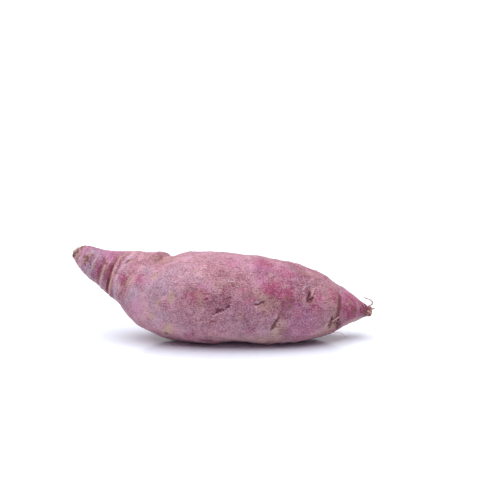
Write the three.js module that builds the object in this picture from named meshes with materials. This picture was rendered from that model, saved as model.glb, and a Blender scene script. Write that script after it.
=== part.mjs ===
// A purple sweet potato: one whole storage root, grown as a single solid, lying on its belly.
// Millimetres, +Z up, +X from the raised stem end to the thin tail.
// The origin is the middle of the underside of the root's bounding box.
import * as THREE from 'three';

// ---- Driving dimensions ----

// The axis of the root from the stem end to the tail, with the root's half width and half height
// at right angles to it. A smooth curve runs through the stations.
const STATIONS = [
  { axis: [-95.9, 14.4, 56.8], halfWidth: 0.0, halfHeight: 0.0 },
  { axis: [-95.4, 14.2, 56.2], halfWidth: 2.7, halfHeight: 2.7 },
  { axis: [-93.2, 13.6, 54.7], halfWidth: 5.5, halfHeight: 5.1 },
  { axis: [-88.0, 12.5, 51.8], halfWidth: 8.6, halfHeight: 8.1 },
  { axis: [-80.0, 11.0, 47.2], halfWidth: 10.6, halfHeight: 10.6 },
  { axis: [-69.0, 8.5, 42.9], halfWidth: 14.6, halfHeight: 14.4 },
  { axis: [-57.0, 5.0, 39.3], halfWidth: 20.2, halfHeight: 19.4 },
  { axis: [-42.0, 1.0, 33.4], halfWidth: 27.0, halfHeight: 26.8 },
  { axis: [-22.0, -2.0, 29.5], halfWidth: 29.8, halfHeight: 29.2 },
  { axis: [2.0, -3.5, 28.9], halfWidth: 30.5, halfHeight: 29.3 },
  { axis: [28.0, -3.0, 27.0], halfWidth: 29.5, halfHeight: 27.9 },
  { axis: [50.0, -1.0, 23.6], halfWidth: 25.8, halfHeight: 24.4 },
  { axis: [66.0, 1.5, 21.2], halfWidth: 20.0, halfHeight: 18.9 },
  { axis: [78.0, 4.0, 20.1], halfWidth: 13.2, halfHeight: 12.2 },
  { axis: [87.0, 6.0, 18.6], halfWidth: 7.6, halfHeight: 7.2 },
  { axis: [91.0, 6.9, 18.0], halfWidth: 5.0, halfHeight: 4.8 },
  { axis: [93.8, 7.4, 17.3], halfWidth: 3.6, halfHeight: 3.3 },
  { axis: [95.8, 7.8, 17.1], halfWidth: 3.2, halfHeight: 3.0 },
  { axis: [97.3, 8.2, 17.2], halfWidth: 0.0, halfHeight: 0.0 },
];

// Growth furrows that ring the root. Angles are in degrees round the axis: 0 is the far side (+Y),
// 90 the top, 180 the near side and 270 the underside. A furrow crosses the axis at x where its
// angle is middle; lean and bow are the shift along the axis, in mm, for each 45 degrees from there
// and for its square. It fades out span degrees away. The lip is the raised skin beyond it.
const FURROWS = [
  { x: -75.6, lean: 0.9, bow: 0.0, middle: 185, span: 100, depth: 0.9, width: 1.2, lip: 0.2 },
  { x: -67.4, lean: 0.3, bow: -0.6, middle: 186, span: 75, depth: 1.5, width: 1.2, lip: 0.7 },
  { x: -71.5, lean: -1.0, bow: 1.0, middle: 350, span: 80, depth: 1.2, width: 1.8, lip: 0.5 },
  { x: 71.0, lean: -1.7, bow: 0.0, middle: 165, span: 75, depth: 1.5, width: 2.0, lip: -0.4 },
  { x: 73.0, lean: -0.8, bow: 1.2, middle: 20, span: 75, depth: 1.1, width: 1.8, lip: 0.3 },
];

// Shallow round hollows: the dimples of old side roots, a corky patch on the near flank and the
// slack of the belly. Length runs along the axis and breadth round it, both in mm.
const DIMPLES = [
  { x: 1.0, angle: 176, depth: 0.9, length: 9, breadth: 6 },
  { x: 22.0, angle: 168, depth: 0.5, length: 6, breadth: 4 },
  { x: 32.6, angle: 197, depth: 0.8, length: 5, breadth: 5 },
  { x: 50.8, angle: 156, depth: 0.9, length: 4, breadth: 5 },
  { x: 67.0, angle: 203, depth: 0.8, length: 4, breadth: 5 },
  { x: 12.0, angle: 252, depth: 2.8, length: 13, breadth: 15 },
  { x: -46.0, angle: 335, depth: 0.9, length: 6, breadth: 5 },
  { x: -14.0, angle: 25, depth: 1.1, length: 6, breadth: 6 },
  { x: 34.0, angle: 350, depth: 1.0, length: 6, breadth: 5 },
  { x: 57.0, angle: 40, depth: 0.9, length: 5, breadth: 4 },
  { x: 16.0, angle: 70, depth: 0.7, length: 7, breadth: 5 },
  { x: -47.0, angle: 110, depth: 1.0, length: 6, breadth: 7 },
];

// The crease across the top where the neck meets the body: steep on the neck's side, gentle beyond.
// It crosses the axis at x at its angle, and leans, as a furrow does.
const CREASE = {
  x: -42, lean: -3.7, angle: 90, depth: 4.8, neckSide: 5, bodySide: 10, breadth: 46,
};

// Long low swells of the body, each with its height and the distance along the axis of one radian.
const SWELL = { height: 0.5, reach: 13 };
const LOBES = { height: 0.55, reach: 19, count: 3 };
const FULL_SWELL_HALF_HEIGHT = 20;
const FULL_RELIEF_HALF_HEIGHT = 4;

// The height in the stations' frame below which the belly is pressed flat, so that the root lies
// steadily on a level surface.
const BELLY_FLAT = 0.35;

// The mesh: rings between one station and the next, and sides round the root.
const RINGS_PER_STATION = 5;
const SIDES = 56;

const SKIN_COLOUR = 0xa6798c;

// ---- Helpers ----

const radians = THREE.MathUtils.degToRad;

// A bell of height one at zero.
function bell(value) {
  return Math.exp(-value * value);
}

// The angle from one direction to another, from -180 to 180 degrees.
function turnFrom(middle, angle) {
  return THREE.MathUtils.euclideanModulo(angle - middle + 180, 360) - 180;
}

// ---- Relief of the skin: height above the smooth section, in mm ----

function furrowRelief(furrow, x, angle) {
  const turn = turnFrom(furrow.middle, angle);
  const eighths = turn / 45;
  const bed = furrow.x + furrow.lean * eighths + furrow.bow * eighths * eighths;
  const across = (x - bed) / furrow.width;
  const fade = THREE.MathUtils.smoothstep(1.15 * (1 - Math.abs(turn) / furrow.span), 0, 1);
  return fade * (furrow.lip * bell(across - 1.9) - furrow.depth * bell(across));
}

function dimpleRelief(dimple, x, angle, halfHeight) {
  const round = radians(turnFrom(dimple.angle, angle)) * halfHeight;
  const along = x - dimple.x;
  return -dimple.depth * bell(along / dimple.length) * bell(round / dimple.breadth);
}

function creaseRelief(x, angle) {
  const turn = turnFrom(CREASE.angle, angle);
  const along = x - CREASE.x - (CREASE.lean * turn) / 45;
  const length = along < 0 ? CREASE.neckSide : CREASE.bodySide;
  return -CREASE.depth * bell(along / length) * bell(turn / CREASE.breadth);
}

function swellRelief(x, angle, halfHeight) {
  const share = Math.min(halfHeight / FULL_SWELL_HALF_HEIGHT, 1);
  const swell = SWELL.height * Math.sin(x / SWELL.reach + 1.1 + 1.2 * Math.sin(radians(angle)));
  const lobes = LOBES.height * Math.sin(radians(LOBES.count * angle) + x / LOBES.reach + 0.7);
  return share * (swell + lobes);
}

function relief(x, angle, halfHeight) {
  let height = swellRelief(x, angle, halfHeight) + creaseRelief(x, angle);
  for (const furrow of FURROWS) {
    height += furrowRelief(furrow, x, angle);
  }
  for (const dimple of DIMPLES) {
    height += dimpleRelief(dimple, x, angle, halfHeight);
  }
  return height * Math.min(halfHeight / FULL_RELIEF_HALF_HEIGHT, 1);
}

// ---- The root ----

function buildRootGeometry() {
  const axisPoints = STATIONS.map((station) => new THREE.Vector3(...station.axis));
  const halfSizes = STATIONS.map(
    (station) => new THREE.Vector3(station.halfWidth, station.halfHeight, 0)
  );
  const axisCurve = new THREE.CatmullRomCurve3(axisPoints, false, 'catmullrom', 0.5);
  const sizeCurve = new THREE.CatmullRomCurve3(halfSizes, false, 'catmullrom', 0.5);
  const vertical = new THREE.Vector3(0, 0, 1);

  // A sphere's grid, drawn out along the axis: its poles become the two ends of the root.
  const rings = RINGS_PER_STATION * (STATIONS.length - 1);
  const geometry = new THREE.SphereGeometry(1, SIDES, rings);
  const position = geometry.attributes.position;

  for (let ring = 0; ring <= rings; ring++) {
    const share = ring / rings;
    const middle = axisCurve.getPoint(share);
    const size = sizeCurve.getPoint(share);
    const halfWidth = Math.max(size.x, 0);
    const halfHeight = Math.max(size.y, 0);
    const tangent = axisCurve.getTangent(share);
    const far = new THREE.Vector3().crossVectors(vertical, tangent).normalize();
    const up = new THREE.Vector3().crossVectors(tangent, far);

    for (let side = 0; side <= SIDES; side++) {
      const index = ring * (SIDES + 1) + side;
      const angle = 360 * (1 - side / SIDES);
      const cosine = Math.cos(radians(angle));
      const sine = Math.sin(radians(angle));
      // The relief stands at right angles to the oval section.
      const outFar = halfHeight * cosine;
      const outUp = halfWidth * sine;
      const outLength = Math.max(Math.hypot(outFar, outUp), 1e-9);
      const height = relief(middle.x, angle, halfHeight);
      const point = middle.clone();
      point.addScaledVector(far, halfWidth * cosine + (height * outFar) / outLength);
      point.addScaledVector(up, halfHeight * sine + (height * outUp) / outLength);
      position.setXYZ(index, point.x, point.y, Math.max(point.z, BELLY_FLAT));
    }
  }
  geometry.computeBoundingBox();
  const box = geometry.boundingBox;
  geometry.translate(-(box.min.x + box.max.x) / 2, -(box.min.y + box.max.y) / 2, -box.min.z);
  geometry.computeVertexNormals();
  return geometry;
}

const skin = new THREE.MeshStandardMaterial({ color: SKIN_COLOUR, roughness: 0.85, metalness: 0 });

const root = new THREE.Mesh(buildRootGeometry(), skin);
root.name = 'sweet_potato';

const group = new THREE.Group();
group.add(root);

export default group;
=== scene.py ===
"""A purple sweet potato: the skin and rootlets of one whole storage root, on a plain white floor.

The root's solid comes packed, as the frame. This file gives it its visible skin, with furrows,
cracks, side-root scars and cork, and its hair rootlets. It is laid out as an add-on and runs as a
script. Lengths in the tables are in millimetres, and angles are in degrees round the root's axis:
0 is the far side (+Y), 90 the top, 180 the near side and 270 the underside.
"""

import math

import bpy
import numpy as np
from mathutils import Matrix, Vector


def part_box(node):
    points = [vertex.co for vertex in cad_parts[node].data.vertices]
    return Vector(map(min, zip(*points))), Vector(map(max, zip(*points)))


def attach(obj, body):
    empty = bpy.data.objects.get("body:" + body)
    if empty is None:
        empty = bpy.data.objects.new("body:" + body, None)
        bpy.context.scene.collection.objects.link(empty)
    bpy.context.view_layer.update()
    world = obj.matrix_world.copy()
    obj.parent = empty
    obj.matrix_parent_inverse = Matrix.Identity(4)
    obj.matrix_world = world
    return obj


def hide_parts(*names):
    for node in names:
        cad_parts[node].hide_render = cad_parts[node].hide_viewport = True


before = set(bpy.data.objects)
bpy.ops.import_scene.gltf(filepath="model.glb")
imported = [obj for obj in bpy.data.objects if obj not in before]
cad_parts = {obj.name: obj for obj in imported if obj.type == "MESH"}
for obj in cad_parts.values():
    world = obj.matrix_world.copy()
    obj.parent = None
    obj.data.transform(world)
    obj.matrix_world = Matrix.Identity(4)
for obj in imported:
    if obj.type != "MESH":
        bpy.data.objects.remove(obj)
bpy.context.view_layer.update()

bl_info = {
    "name": "Purple Sweet Potato",
    "version": (1, 0, 0),
    "blender": (4, 5, 0),
    "location": "View3D > Sidebar > Sweet Potato",
    "description": "Builds the skin and rootlets of a purple sweet potato round its packed solid",
    "category": "Add Mesh",
}

NODE = "sweet_potato"
BODY = "root"
MM = 0.001

# ---- Driving dimensions of the root, the same as in its solid ----

# Axis x, y and z, half width and half height, from the stem end to the tail.
STATIONS = np.array([
    (-95.9, 14.4, 56.8, 0.0, 0.0),
    (-95.4, 14.2, 56.2, 2.7, 2.7),
    (-93.2, 13.6, 54.7, 5.5, 5.1),
    (-88.0, 12.5, 51.8, 8.6, 8.1),
    (-80.0, 11.0, 47.2, 10.6, 10.6),
    (-69.0, 8.5, 42.9, 14.6, 14.4),
    (-57.0, 5.0, 39.3, 20.2, 19.4),
    (-42.0, 1.0, 33.4, 27.0, 26.8),
    (-22.0, -2.0, 29.5, 29.8, 29.2),
    (2.0, -3.5, 28.9, 30.5, 29.3),
    (28.0, -3.0, 27.0, 29.5, 27.9),
    (50.0, -1.0, 23.6, 25.8, 24.4),
    (66.0, 1.5, 21.2, 20.0, 18.9),
    (78.0, 4.0, 20.1, 13.2, 12.2),
    (87.0, 6.0, 18.6, 7.6, 7.2),
    (91.0, 6.9, 18.0, 5.0, 4.8),
    (93.8, 7.4, 17.3, 3.6, 3.3),
    (95.8, 7.8, 17.1, 3.2, 3.0),
    (97.3, 8.2, 17.2, 0.0, 0.0),
])

# x, lean, bow, middle angle, span, depth, width and lip, and how brown the bed is, from 0 to 1:
# the bed is brown, with the shade of the groove painted in.
FURROWS = (
    (-75.6, 0.9, 0.0, 185, 100, 0.9, 1.2, 0.2, 0.75),
    (-67.4, 0.3, -0.6, 186, 75, 1.5, 1.2, 0.7, 0.8),
    (-71.5, -1.0, 1.0, 350, 80, 1.2, 1.8, 0.5, 0.8),
    (71.0, -1.7, 0.0, 165, 75, 1.5, 2.0, -0.4, 0.45),
    (73.0, -0.8, 1.2, 20, 75, 1.1, 1.8, 0.3, 0.7),
)

# x, angle, depth, length and breadth.
DIMPLES = (
    (1.0, 176, 0.9, 9, 6),
    (22.0, 168, 0.5, 6, 4),
    (32.6, 197, 0.8, 5, 5),
    (50.8, 156, 0.9, 4, 5),
    (67.0, 203, 0.8, 4, 5),
    (12.0, 252, 2.8, 13, 15),
    (-46.0, 335, 0.9, 6, 5),
    (-14.0, 25, 1.1, 6, 6),
    (34.0, 350, 1.0, 6, 5),
    (57.0, 40, 0.9, 5, 4),
    (16.0, 70, 0.7, 7, 5),
    (-47.0, 110, 1.0, 6, 7),
)
# The crease across the top where the neck meets the body.
CREASE = {
    "x": -42, "lean": -3.7, "angle": 90, "depth": 4.8, "neck_side": 5, "body_side": 10,
    "breadth": 46,
}
# Long low swells of the body: their height, the distance along the axis of one radian, the angle
# in radians at which they start, and how they go round it.
SWELL = {"height": 0.5, "reach": 13, "phase": 1.1, "twist": 1.2}
LOBES = {"height": 0.55, "reach": 19, "phase": 0.7, "count": 3}
# The half heights at which the swells and lobes, and all the relief, have their full height.
FULL_SWELL_HALF_HEIGHT = 20
FULL_RELIEF_HALF_HEIGHT = 4
# The height below which the belly is pressed flat.
BELLY_FLAT = 0.35

# How many places the outline is measured at, and the step in it that gives the axis its direction.
OUTLINE_STEPS = 6000
TANGENT_STEP = 0.001

# ---- Fine relief ----

# A random field is given by its wavelength in mm, its spread and its seed.

# The wander of the furrows' beds, and how quickly they fade. In widths of the bed, the place of
# its lip, the breadth of its brown stain with the groove's painted shade, and the place and breadth
# of the pale ledge beyond.
FURROW_WANDER = ((9.0, 0.35, 3),)
FURROW_FADE = 1.15
FURROW_LIP_PLACE = 1.9
FURROW_STAIN_AND_SHADE_BREADTH = 1.15
FURROW_LEDGE = {"place": 2.2, "breadth": 0.8}
# Wrinkles that ring the root, how many times longer they are round it than along it, their height,
# and their share of that on the body. At the ends they are stronger: the x where that begins, the
# reach over which it grows, and how much it adds.
WRINKLES = ((3.0, 1.0, 11), (1.8, 0.7, 12))
WRINKLE_STRETCH = 8
WRINKLE_HEIGHT = 0.085
WRINKLED_BODY = 0.12
WRINKLED_ENDS = ((CREASE["x"], -20, 1.2), (58, 14, 0.6))
# Low dents of the whole skin, and the small pebbles that grow with the strength of the wrinkles.
DENTS = ((15.0, 0.20, 21), (6.5, 0.10, 22))
PEBBLES = ((2.8, 0.05, 23),)
# The raggedness of slits and pores in their widths, and of the two ends in mm.
RAGGED_EDGE = ((2.1, 0.30, 31), (1.1, 0.20, 32))
END_FIBRE = ((2.4, 1.0, 41), (1.2, 0.6, 42))
# A slit's swollen edge, its place and breadth in half widths, and the steepness of its groove, one
# being a bell of its half width. A pore's ring, and its dent with a breadth in radii.
SLIT_EDGE = {"height": 0.16, "place": 2.2, "breadth": 0.8}
SLIT_STEEPNESS = 0.9
PORE_RING = {"height": 0.14, "breadth": 0.6}
PORE_DENT = {"depth": 0.25, "breadth": 0.6}
# How far from its middle a mark's colour reaches: in half widths for slits and scratches, and in
# radii for pores. A wholly brown slit loses a share of its dark, the flesh and painted shade of its
# groove.
REACH = {"crack_and_shade": 1.8, "cork": 2.4, "scratch": 1.6, "ring": 1.35, "pore": 2 / 3}
BROWN_FOR_DARK = 0.45
# The stem scar's plane: the way it faces, how far its cap reaches in from the tip, the x where it
# ends at the latest, the length over which it is whole, its raggedness and its fibres' height.
STEM_SCAR = {
    "facing": (-0.68, 0.25, 0.69), "depth": 3.3, "end": -80, "reach": 0.8, "ragged": 0.5,
    "fibre": 0.25,
}
STEM_RIM = {"height": 0.25, "place": 0.4, "breadth": 0.7}
# The tail's dried knot: where it begins, the length over which it is whole, its raggedness, its
# fibres' height and how far it sinks.
TAIL_KNOT = {"x": 91.6, "reach": 3.0, "ragged": 0.9, "fibre": 0.4, "sink": 0.5}

# ---- Marks on the skin, at (x, angle) places ----

# Slits, root scars and cracks: the places they run through with the half width at each, the depth,
# and how brown they are, from 0 for a fresh crack, dark with flesh and painted shade, to 1 for an
# old corky one.
SLITS = (
    # Root scars of the near side, on the body and then on the neck
    (((51.0, 144, 0.4), (50.7, 149, 0.7), (50.4, 154, 0.8), (50.1, 160, 0.5)), 1.6, 0.5),
    (((52.8, 151, 0.3), (52.4, 154, 0.7), (51.7, 159, 0.5)), 1.3, 0.8),
    (((30.9, 205, 0.45), (31.7, 200, 0.65), (32.8, 193, 0.5), (34.1, 186, 0.3)), 0.8, 1.1),
    (((66.0, 184, 0.5), (66.3, 191, 1.0), (66.3, 199, 1.1), (66.4, 208, 0.6)), 1.6, 0.6),
    (((70.6, 190, 0.4), (71.5, 203, 0.9), (71.9, 213, 1.0), (71.9, 223, 0.5)), 1.4, 0.6),
    (((-61.2, 134, 0.3), (-60.5, 128, 0.5), (-59.6, 123, 0.3)), 0.5, 0.6),
    (((-75.8, 142, 0.3), (-74.6, 148, 0.4), (-73.8, 151, 0.3), (-73.0, 145, 0.3)), 0.3, 0.8),
    (((-87.4, 152, 0.3), (-86.4, 158, 0.5), (-86.0, 166, 0.3)), 0.4, 0.6),
    (((-86.2, 186, 0.3), (-85.4, 192, 0.4)), 0.3, 0.6),
    (((-83.2, 171, 0.3), (-82.2, 182, 0.3), (-82.4, 190, 0.3)), 0.3, 0.3),
    # Cracks of the near side, in its middle and at the edge of the belly
    (((-4.5, 186.8, 0.3), (-3.6, 185.6, 0.5), (-2.9, 185.2, 0.3)), 0.3, 0.0),
    (((-2.6, 183.6, 0.5), (-1.4, 182.2, 1.0), (0.0, 181.2, 1.2), (1.2, 180.4, 0.9),
      (2.8, 179.2, 0.4)), 0.7, 0.0),
    (((-2.0, 180.4, 0.4), (-0.6, 179.6, 0.6), (0.6, 179.4, 0.4)), 0.4, 0.0),
    (((2.5, 173.2, 0.3), (3.3, 172.8, 0.4)), 0.25, 0.0),
    (((2.9, 177.2, 0.3), (4.2, 176.2, 0.7), (5.2, 174.8, 0.5)), 0.5, 0.0),
    (((4.8, 170.6, 0.4), (5.6, 170.2, 0.3)), 0.2, 0.0),
    (((3.6, 164.6, 0.3), (5.4, 164.2, 0.5)), 0.2, 0.0),
    (((-8.6, 167.8, 0.3), (-7.4, 167, 0.5)), 0.25, 0.0),
    (((19.2, 171.6, 0.5), (20.2, 171.0, 0.8), (21.4, 170.9, 0.6), (22.6, 170.0, 0.4)), 0.5, 0.0),
    (((22.6, 168.6, 0.5), (23.8, 167.6, 0.8), (25.0, 167.0, 0.5)), 0.5, 0.0),
    (((-11.6, 232, 0.4), (-9.4, 234, 0.7), (-6.6, 234, 0.7), (-5.0, 232, 0.4)), 0.6, 0.1),
    # Fissures and an open pore of the drying tail
    (((90.5, 112, 0.4), (90.9, 128, 0.5)), 0.5, 0.1),
    (((91.3, 134, 0.4), (91.9, 152, 0.5)), 0.5, 0.1),
    (((89.0, 140, 0.4), (89.7, 154, 0.5)), 0.5, 0.1),
    (((86.6, 160, 0.4), (87.2, 172, 0.6), (87.9, 180, 0.4)), 0.5, 0.2),
    (((90.6, 172, 0.4), (91.4, 186, 0.6), (92.0, 200, 0.4)), 0.4, 0.4),
    (((81.4, 170, 0.4), (81.8, 171, 0.4)), 0.35, 0.6),
    # Root scars and cracks on the far side, the top and the belly
    (((-46.8, 327, 0.4), (-46.0, 333, 0.9), (-45.0, 341, 0.4)), 1.0, 0.8),
    (((-13.2, 18, 0.4), (-14.2, 25, 1.0), (-15.0, 32, 0.5)), 1.1, 0.7),
    (((32.8, 343, 0.4), (33.8, 350, 0.9), (34.8, 357, 0.4)), 0.9, 0.7),
    (((57.6, 33, 0.4), (56.8, 40, 0.8), (56.2, 47, 0.4)), 0.8, 0.8),
    (((12.0, 71, 0.3), (14.5, 70, 0.7), (17.0, 69, 0.5), (19.0, 67, 0.3)), 0.5, 0.2),
    (((-4.0, 318, 0.4), (-1.6, 321, 0.8), (1.0, 321, 0.6), (3.0, 319, 0.3)), 0.6, 0.1),
    (((6.0, 318, 0.4), (8.0, 316, 0.5)), 0.4, 0.1),
    (((44.0, 256, 0.4), (47.0, 258, 0.7), (49.0, 257, 0.3)), 0.5, 0.4),
    (((-32.0, 268, 0.4), (-29.0, 270, 0.8), (-26.0, 269, 0.3)), 0.5, 0.5),
)

# Thin pale rubbed scratches and flaked edges: the places they run through, with half widths.
SCRATCHES = (
    ((1.2, 143, 0.3), (8.0, 142.4, 0.3)),
    ((3.6, 145.4, 0.3), (7.6, 145.0, 0.25)),
    ((8.6, 150.8, 0.35), (10.6, 150.2, 0.3)),
    ((-14.0, 146, 0.3), (-11.0, 145.4, 0.3)),
    ((-7.6, 143, 0.35), (-5.6, 142.2, 0.3)),
    ((-4.2, 188.4, 0.3), (-2.0, 186.8, 0.4), (1.6, 183.6, 0.4), (3.8, 180.8, 0.3)),
    ((4.6, 178.6, 0.3), (5.8, 177.2, 0.4), (6.2, 174.6, 0.3)),
    ((19.4, 168.8, 0.4), (21.6, 167.6, 0.3), (23.8, 164.8, 0.3)),
    ((19.6, 173.6, 0.3), (22.0, 173.0, 0.3)),
    ((31.6, 206.6, 0.5), (34.0, 204.6, 0.4)),
    ((46.4, 141.4, 0.4), (47.2, 137.6, 0.7), (48.4, 134.6, 0.3)),
    ((46.4, 147.4, 0.4), (47.6, 146.4, 0.5)),
    ((52.2, 188, 0.4), (53.4, 186.4, 0.4)),
    ((54.6, 183.6, 0.4), (55.2, 182.6, 0.3)),
    ((-12, 128.6, 0.3), (-8, 127.6, 0.3)),
    ((72.6, 124, 0.3), (74.0, 111, 0.3)),
    ((-90.4, 186, 0.4), (-90.0, 166, 0.3)),
    ((-66.4, 152, 0.4), (-66.0, 151, 0.4)),
    ((-66.6, 165, 0.4), (-66.2, 164, 0.4)),
    ((89.9, 118, 0.3), (90.7, 142, 0.35)),
    ((20, 35, 0.3), (27, 33, 0.3)),
    ((-30, 350, 0.3), (-24, 352, 0.3)),
    ((-3.4, 315, 0.3), (0.6, 317.6, 0.4), (3.4, 315.8, 0.3)),
)

# Round cork pores: x, angle, radius.
LENTICELS = (
    (27.5, 129.5, 1.0), (34.8, 143, 1.1), (76.4, 154, 0.8), (-24, 96, 1.0),
    (58, 138, 0.8), (-12, 88, 0.9), (48.6, 188, 0.7), (5, 30, 1.2), (44, 355, 1.1),
    (-34, 345, 1.0), (-8, 300, 1.0), (66, 60, 1.0), (28, 240, 0.9), (-52, 30, 0.9),
    (80, 340, 1.1), (18, 290, 0.9),
)
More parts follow.
